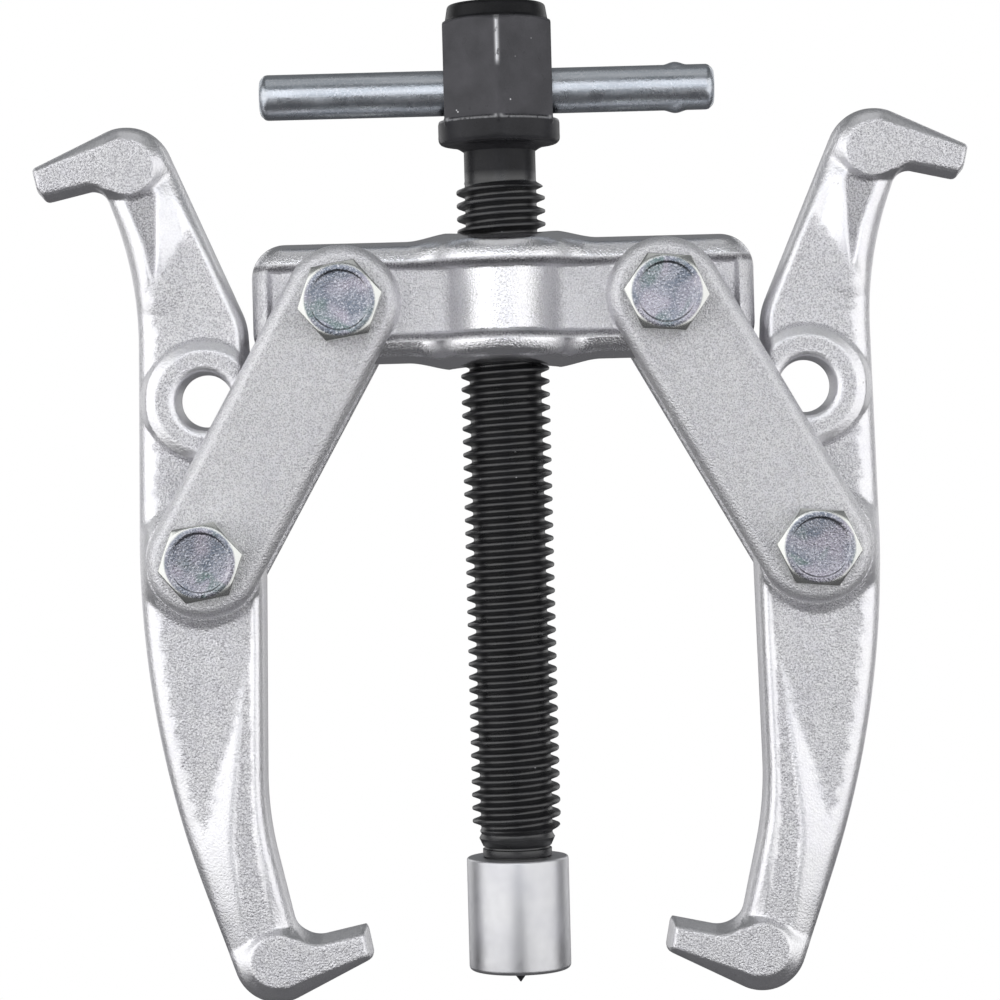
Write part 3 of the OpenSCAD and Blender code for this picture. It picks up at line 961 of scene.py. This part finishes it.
def threaded(below, above, root_r, crest_r, pitch, low, top, sides, rows, fade=1.6):
    """Closed mesh of a right-hand thread about Z, between two plain profiles that are turned."""
    last = (math.ceil((top - low) / pitch) + 2) * rows
    angles = np.linspace(0, 2 * math.pi, sides, endpoint=False)
    phase = (np.arange(last + 1) / rows)[:, None]
    lift = (np.arange(last + 1) / rows - 1)[:, None] + np.arange(sides)[None, :] / sides
    z = np.clip(low + pitch * lift, low, top)
    ends = step_up(low, low + fade, z) * (1 - step_up(top - fade, top, z))
    r = root_r + (crest_r - root_r) * thread_share(phase, pitch) * ends
    grid = np.stack([r * np.cos(angles), r * np.sin(angles), z], 2).reshape(-1, 3)
    faces = []
    for j in range(last):
        for i in range(sides - 1):
            a = j * sides + i
            faces.append((a, a + 1, a + sides + 1, a + sides))
        if j + rows < last:
            a = j * sides + sides - 1
            b = (j + rows) * sides
            faces.append((a, b, b + sides, a + sides))
    bottom = lathe([*below, (root_r, low)], sides)
    cap = lathe([(root_r, top), *above], sides)
    return welded(*joined(bottom, (grid, faces), cap))


def screw_collar(reach, z):
    """The collar under the hexagon, with the flare that leads into it from the neck."""
    collar = round_max(reach - COLLAR_R, z - HEX_Z, 0.35)
    under = COLLAR_Z - z + 0.12 * (reach - COLLAR_R)
    collar = round_max(collar, under, 0.9)
    flare = (reach - ROOT_R - 2 - (z - COLLAR_Z) * 1.5) * 0.55
    flare = np.maximum(np.maximum(flare, COLLAR_Z - 1.4 - z), z - COLLAR_Z - 1)
    return round_min(collar, flare, 0.5)


def screw_head(x, y, z):
    """The hexagon, its crown and collar, with the cross hole for the bar."""
    reach = np.hypot(x, y)
    hexagonal = round_max(hexagon(x, y, HEAD_AF), HEX_Z - 1 - z, 0.2)
    cone = chamfer(reach, z - HEX_TOP, CROWN_LOW_R)
    hexagonal = round_max(hexagonal, np.maximum(cone, z - HEX_TOP - 1), 0.15)
    taper = (CROWN_LOW_R - CROWN_TOP_R) / (screw_top - HEX_TOP)
    crown = reach - CROWN_LOW_R + (z - HEX_TOP) * taper
    crown = round_max(crown, z - screw_top, 0.5)
    crown = round_max(crown, HEX_TOP - 2 - z, 0.1)
    solid = np.minimum(np.minimum(hexagonal, crown), screw_collar(reach, z))
    bore = np.hypot(y, z - bar_z)
    wall = (bar_high[2] - bar_low[2]) / 2 - 0.4 - bore
    mouth = (wall + 0.35 + abs(x) - HEAD_AF / 2) * 0.7
    return np.maximum(solid, np.maximum(wall, mouth))


def screw_wear_and_highlight(x, y, z):
    """A painted highlight, a bright line down the hexagon's front corner, and the collar's rim
    rubbed to bare steel.
    """
    # painted highlight along the hexagon's front corner
    painted_highlight = np.exp(-(x / 0.3) ** 2) * (y < -HEAD_AF / 2) * step_up(160.4, 162, z) * (z < HEX_TOP)
    rim = inside_share(abs(np.hypot(x, y) - COLLAR_R) - 0.1, 0.2)
    rim = rim * (z > HEX_Z - 0.5) * (z < HEX_Z + 0.1) * 0.5
    return np.maximum(painted_highlight, rim)


def screw_matt(z):
    """1 on the hexagon, and less on the collar and the neck."""
    flats = step_up(HEX_Z - 0.1, HEX_Z + 0.2, z) * (1 - step_up(HEX_TOP - 0.5, HEX_TOP, z))
    neck = NECK_MATT * (z > THREAD_TOP + 1.4) * (z < HEX_Z)
    collar = COLLAR_MATT * (z > COLLAR_Z - 0.2) * (z < HEX_Z)
    return np.max([flats, neck, collar], axis=0)


def make_screw():
    shaft = threaded(NOSE_RINGS, NECK_RINGS, ROOT_R, CREST_R, THREAD_PITCH,
                     THREAD_LOW, THREAD_TOP, pick(SCREW_SIDES), THREAD_ROWS)
    low = np.array([-COLLAR_R, -HEAD_AF * HEX_REACH, COLLAR_Z - 1.4])
    high = np.array([COLLAR_R, HEAD_AF * HEX_REACH, screw_top])
    points, faces = joined(shaft, solid_mesh(screw_head, low, high, pick(HEAD_STEP)))
    z = points[:, 2]
    values = {"wear_and_highlight": screw_wear_and_highlight(*points.T), "matt": screw_matt(z),
              "gloss": 1 - step_up(THREAD_TOP + 0.5, THREAD_TOP + 1.5, z)}
    add_piece("screw_body", points, faces, "spindle", "forcing_screw", "black_oxide", values,
              sharp=50)


# --- pivot bolts, washers and nuts ---

BOLT_AF = 13
BOLT_HEAD_H = 5.3
SHOULDER_R = 4.5
STUD_R = 3.95
STUD_ROOT_R = STUD_R - 0.6
STUD_PITCH = 1.25
STUD_SIDES = 48
STUD_ROWS = 8
CHAMFER_R = 6.15
DISH_R = 5.15  # the shallow bowl in a bolt's head
DISH_DEPTH = 0.34
SLIT_HALF = 0.55  # the washer's slit, and its slant
SLIT_SLANT = 0.45
FASTENER_STEP = 0.22
HEAD_TURNS = {LEFT: 10, RIGHT: -5}
NUT_TURNS = {("yoke", LEFT): 20, ("yoke", RIGHT): -8, ("jaw", LEFT): -14, ("jaw", RIGHT): -3}


def turned_hexagon(x, z, degrees):
    c = math.cos(math.radians(degrees))
    s = math.sin(math.radians(degrees))
    return hexagon(z * c - x * s, x * c + z * s, BOLT_AF)


def bolt_head(turn):
    """Head from its seat at 0 to its face at BOLT_HEAD_H, along the second axis."""
    def field(x, y, z):
        reach = np.hypot(x, z)
        below_face = y - BOLT_HEAD_H
        top = round_max(chamfer(reach, below_face, CHAMFER_R), below_face, 0.25)
        solid = round_max(turned_hexagon(x, z, turn), top, 0.2)
        solid = round_max(solid, -y, 0.3)
        bowl = DISH_DEPTH - 0.10 * (reach / DISH_R) ** 2
        dish = np.maximum(reach - DISH_R + (BOLT_HEAD_H - y) * 0.5, BOLT_HEAD_H - bowl - y)
        return round_max(solid, -dish, 0.12)
    return field


def nut_field(turn, height):
    def field(x, y, z):
        reach = np.hypot(x, z)
        end = abs(y - height / 2) - height / 2
        bevel = round_max(chamfer(reach, end, CHAMFER_R), end, 0.2)
        solid = round_max(turned_hexagon(x, z, turn), bevel, 0.2)
        hole = STUD_R + 0.05 - reach
        mouth = (hole + 0.5 + end) * 0.7
        return np.maximum(solid, np.maximum(hole, mouth))
    return field


def washer_field(x, y, z):
    """Split spring washer; the slit is at the top and slants."""
    thick = washer_high[1] - washer_low[1]
    outer = (washer_high[0] - washer_low[0]) / 2
    inner = STUD_R + 0.15
    reach = np.hypot(x, z)
    middle = abs(reach - (outer + inner) / 2) - (outer - inner) / 2
    solid = round_max(middle, abs(y - thick / 2) - thick / 2, 0.25)
    slit = SLIT_HALF - abs(x - (y - thick / 2) * SLIT_SLANT)
    return round_max(solid, np.where(z > 0, slit, -1.0), 0.15)


def along_y(points):
    """Turns a mesh about Z into one about Y, with its top towards +Y."""
    x, y, z = points.T
    return np.stack([x, z, -y], 1)


def stud_mesh(head_seat):
    """A bolt's shoulder and threaded stud, from inside its head to its end."""
    start = washer_low[1]
    end = bolt_high[1]
    below = [(0, head_seat + 1), (SHOULDER_R, head_seat + 1), (SHOULDER_R, start),
             (STUD_ROOT_R, start)]
    above = [(STUD_R - 0.9, end - 0.1), (STUD_R - 1.1, end), (0, end)]
    points, faces = threaded(below, above, STUD_ROOT_R, STUD_R, STUD_PITCH,
                             start + 0.2, end - 0.35, STUD_SIDES, STUD_ROWS, 0.8)
    return along_y(points), faces


def fastener_mesh(field, half, height):
    """Mesh of a bolt's head, a nut or a washer; half is its reach from the axis."""
    return solid_mesh(field, np.array([-half, 0, -half]), np.array([half, height, half]),
                      pick(FASTENER_STEP))


def make_fasteners():
    head_seat = bolt_low[1] + BOLT_HEAD_H
    nut_h = nut_high[1] - nut_low[1]
    stud = stud_mesh(head_seat)
    hex_half = BOLT_AF * HEX_REACH
    washer = fastener_mesh(washer_field, 7, 2)
    for side, word in SIDES.items():
        points, faces = fastener_mesh(bolt_head(HEAD_TURNS[side]), hex_half, BOLT_HEAD_H)
        points = np.stack([points[:, 0], head_seat - points[:, 1], points[:, 2]], 1)
        bolt = joined((points, faces[:, ::-1]), stud)
        for joint, body in (("yoke", "yoke"), ("jaw", f"{word}_pin")):
            place = node_centre(f"{word}_{joint}_bolt") * [1, 0, 1]
            nut = fastener_mesh(nut_field(NUT_TURNS[joint, side], nut_h), hex_half, nut_h)
            pieces = (("bolt", bolt, 0, "bolt_zinc"),
                      ("washer", washer, washer_low[1], "washer_zinc"),
                      ("nut", nut, nut_low[1], "bolt_zinc"))
            for part, (points, faces), out, slot in pieces:
                node = f"{word}_{joint}_{part}"
                reach = np.hypot(points[:, 0], points[:, 2])
                on_face = inside_share(reach - CHAMFER_R + 0.05, 0.15) * (part == "bolt")
                grain = np.maximum(on_face, 0.6 * (part == "washer"))
                add_piece(f"{node}_zinc", points + place + [0, out, 0], faces, body, node, slot,
                          {"grain": grain}, sharp=55)


# --- tommy bar, cap and point ---

STAKE_IN = 6.8  # from the bar's right end to its staked bumps
STAKE_R = 2.2
BAR_STEP = 0.32


def make_bar():
    radius = 4.0
    centre = np.array([(bar_low[0] + bar_high[0]) / 2, 0, bar_z])
    half = (bar_high[0] - bar_low[0]) / 2
    out = (bar_high[2] - bar_low[2]) / 2 - STAKE_R

    def field(x, y, z):
        reach = np.hypot(y, z)
        end = abs(x) - half
        bevel = (reach - radius + end + 1.0) * 0.7
        solid = round_max(round_max(reach - radius, end, 0.3), bevel, 0.3)
        bump = np.sqrt((x - half + STAKE_IN) ** 2 + y ** 2 + (abs(z) - out) ** 2) - STAKE_R
        return round_min(solid, bump, 0.5)

    low = np.array([-half, -radius, -radius - 0.5])
    points, quads = solid_mesh(field, low, -low, pick(BAR_STEP))
    add_piece("tommy_bar_rod", points + centre, quads, "tommy_bar", "tommy_bar", "bar_zinc")


POINT_R = 1.8
POINT_HEAD_R = 2.5
POINT_HEAD_Z = 3.8
POINT_TOP = 5.0
POINT_GAP = 0.05
CAP_GROOVE = 0.7  # depth and half height of the cap's groove for the wire ring
BALL_SEAT_Z = 7.5


def make_cap():
    outer = cap_high[0]
    low = cap_low[2]
    high = cap_high[2]
    bore = NOSE_R + 0.15
    hole = POINT_R + POINT_GAP
    head_hole = POINT_HEAD_R + POINT_GAP
    ring_mid = (ring_low[2] + ring_high[2]) / 2
    groove_low = ring_mid - CAP_GROOVE
    groove_top = ring_mid + CAP_GROOVE
    outside = arc_points([(hole, low), (outer, low, 0.8), (outer, high, 0.45), (bore, high, 0.3),
                          (bore, groove_top)], 0.15)
    inside = [(bore + CAP_GROOVE, groove_top), (bore + CAP_GROOVE, groove_low), (bore, groove_low),
              (bore, BALL_SEAT_Z), (2.6, BALL_SEAT_Z), (head_hole, 5.1), (head_hole, POINT_HEAD_Z),
              (hole, POINT_HEAD_Z), (hole, low)]
    points, faces = welded(*lathe([*outside, *inside], 128))
    add_piece("thrust_cap_turned", points, faces, "cap", "thrust_cap", "turned_steel", sharp=40)


def make_point():
    profile = arc_points([(0, 0), (0.12, 0.1, 0.05), (POINT_R, cap_low[2], 0.1),
                          (POINT_R, POINT_HEAD_Z), (POINT_HEAD_R, POINT_HEAD_Z), (POINT_HEAD_R, 4.9),
                          (POINT_HEAD_R - 0.1, POINT_TOP), (0, POINT_TOP)], 0.05)
    points, faces = lathe(profile, 48)
    add_piece("centre_point_cone", points, faces, "cap", "centre_point", "dark_steel", sharp=40)


# --- ball and ring, inside the cap, keep their CAD shape ---

NODE_FINISH = {"thrust_ball": "ball_steel", "retaining_ring": "ring_steel"}


def dress_frame_nodes():
    for name, slot in NODE_FINISH.items():
        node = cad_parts[name]
        node.data.materials.clear()
        node.data.materials.append(MATERIALS[slot])


# --- light, floor and camera ---

CENTRE = Vector((0, 0, 0.0853))  # the tool's middle; this part is in metres
ROOM_LOW = (0.11, 0.11, 0.115)
ROOM_HIGH = (0.18, 0.185, 0.19)
ROOM_HIGH_AT = 0.35
FLOOR_TINTS = ((0.88, 0.88, 0.88), (0.92, 0.92, 0.92))
WHITE = (1, 1, 1)
COOL = (0.94, 0.96, 1.0)
SOFTBOXES = [  # name, azimuth, elevation, distance, (width, height), radiance, colour
    ("left_box", -54, 5, 1.0, (1.80, 1.26), 1.14, WHITE),
    ("right_box", 53, 0, 1.0, (1.76, 1.20), 0.99, WHITE),
    ("front_box", 0, 17, 1.2, (0.60, 0.86), 1.06, COOL),
    ("top_box", 0, 76, 1.1, (0.9, 0.9), 0.34, WHITE),
    ("back_left", -140, 10, 1.3, (0.9, 1.2), 0.7, WHITE),
    ("back_right", 140, 10, 1.3, (0.9, 1.2), 0.7, WHITE),
]


def softbox(name, azimuth, elevation, distance, size, radiance, colour):
    """A square-on area light; azimuth 0 is on the camera's side and 90 on the right."""
    light = bpy.data.lights.new(name, "AREA")
    light.shape = "RECTANGLE"
    light.size, light.size_y = size
    light.energy = radiance * math.pi * size[0] * size[1]
    light.color = colour
    lamp = bpy.data.objects.new(name, light)
    bpy.context.scene.collection.objects.link(lamp)
    a = math.radians(azimuth)
    e = math.radians(elevation)
    away = Vector((math.sin(a) * math.cos(e), -math.cos(a) * math.cos(e), math.sin(e)))
    lamp.location = CENTRE + away * distance
    lamp.rotation_mode = "QUATERNION"
    lamp.rotation_quaternion = (-away).to_track_quat("-Z", "Y")


def make_world():
    """White behind the tool, and around it a dim room that is darkest below."""
    world = bpy.data.worlds.new("studio")
    world.use_nodes = True
    nodes = world.node_tree.nodes
    link = world.node_tree.links.new
    around = nodes["Background"]
    place = nodes.new("ShaderNodeTexCoord")
    parts = nodes.new("ShaderNodeSeparateXYZ")
    height = nodes.new("ShaderNodeValToRGB")
    low, high = height.color_ramp.elements
    low.color = (*ROOM_LOW, 1)
    high.position = ROOM_HIGH_AT
    high.color = (*ROOM_HIGH, 1)
    link(place.outputs["Generated"], parts.inputs[0])
    link(parts.outputs["Z"], height.inputs[0])
    link(height.outputs[0], around.inputs["Color"])
    seen = nodes.new("ShaderNodeBackground")
    seen.inputs["Color"].default_value = (*WHITE, 1)
    path = nodes.new("ShaderNodeLightPath")
    pick_one = nodes.new("ShaderNodeMixShader")
    link(path.outputs["Is Camera Ray"], pick_one.inputs[0])
    link(around.outputs[0], pick_one.inputs[1])
    link(seen.outputs[0], pick_one.inputs[2])
    link(pick_one.outputs[0], nodes["World Output"].inputs["Surface"])
    bpy.context.scene.world = world


def make_floor():
    floor_r = 1.2
    floor_z = -0.25
    sides = 128
    mesh = bpy.data.meshes.new("floor")
    ring = [(floor_r * math.cos(a), floor_r * math.sin(a), floor_z)
            for a in np.linspace(0, 2 * math.pi, sides, endpoint=False)]
    mesh.from_pydata(ring, [], [tuple(range(sides))])
    floor = bpy.data.objects.new("floor", mesh)
    bpy.context.scene.collection.objects.link(floor)
    floor.visible_glossy = False
    f = Finish("pale_floor", 0.0, 0.9)
    f.link(f.mix(f.ramp(f.noise(300, 2), 0.3, 0.7), *FLOOR_TINTS), "Base Color")
    mesh.materials.append(MATERIALS["pale_floor"])


def make_lights():
    make_world()
    make_floor()
    for box in SOFTBOXES:
        softbox(*box)


CAMERA_PLACE = (0, -0.565, 0.0928)
CAMERA_AIM = Vector((-0.0015, 0, 0.0853))
CAMERA_ROLL = -1.485


def make_camera():
    """Level with the tool's middle, and rolled a little."""
    camera = bpy.data.cameras.new("camera")
    camera.lens = 115.2
    camera.clip_start = 0.01
    camera.clip_end = 50
    holder = bpy.data.objects.new("camera", camera)
    bpy.context.scene.collection.objects.link(holder)
    holder.location = CAMERA_PLACE
    look = (CAMERA_AIM - holder.location).to_track_quat("-Z", "Y")
    roll = Matrix.Rotation(math.radians(CAMERA_ROLL), 4, "Z").to_quaternion()
    holder.rotation_mode = "QUATERNION"
    holder.rotation_quaternion = look @ roll
    bpy.context.scene.camera = holder
    bpy.context.scene.view_settings.view_transform = "Standard"


# --- what is made ---

make_jaws()
make_yoke()
make_links()
make_screw()
make_fasteners()
make_bar()
make_cap()
make_point()
dress_frame_nodes()
make_lights()
make_camera()
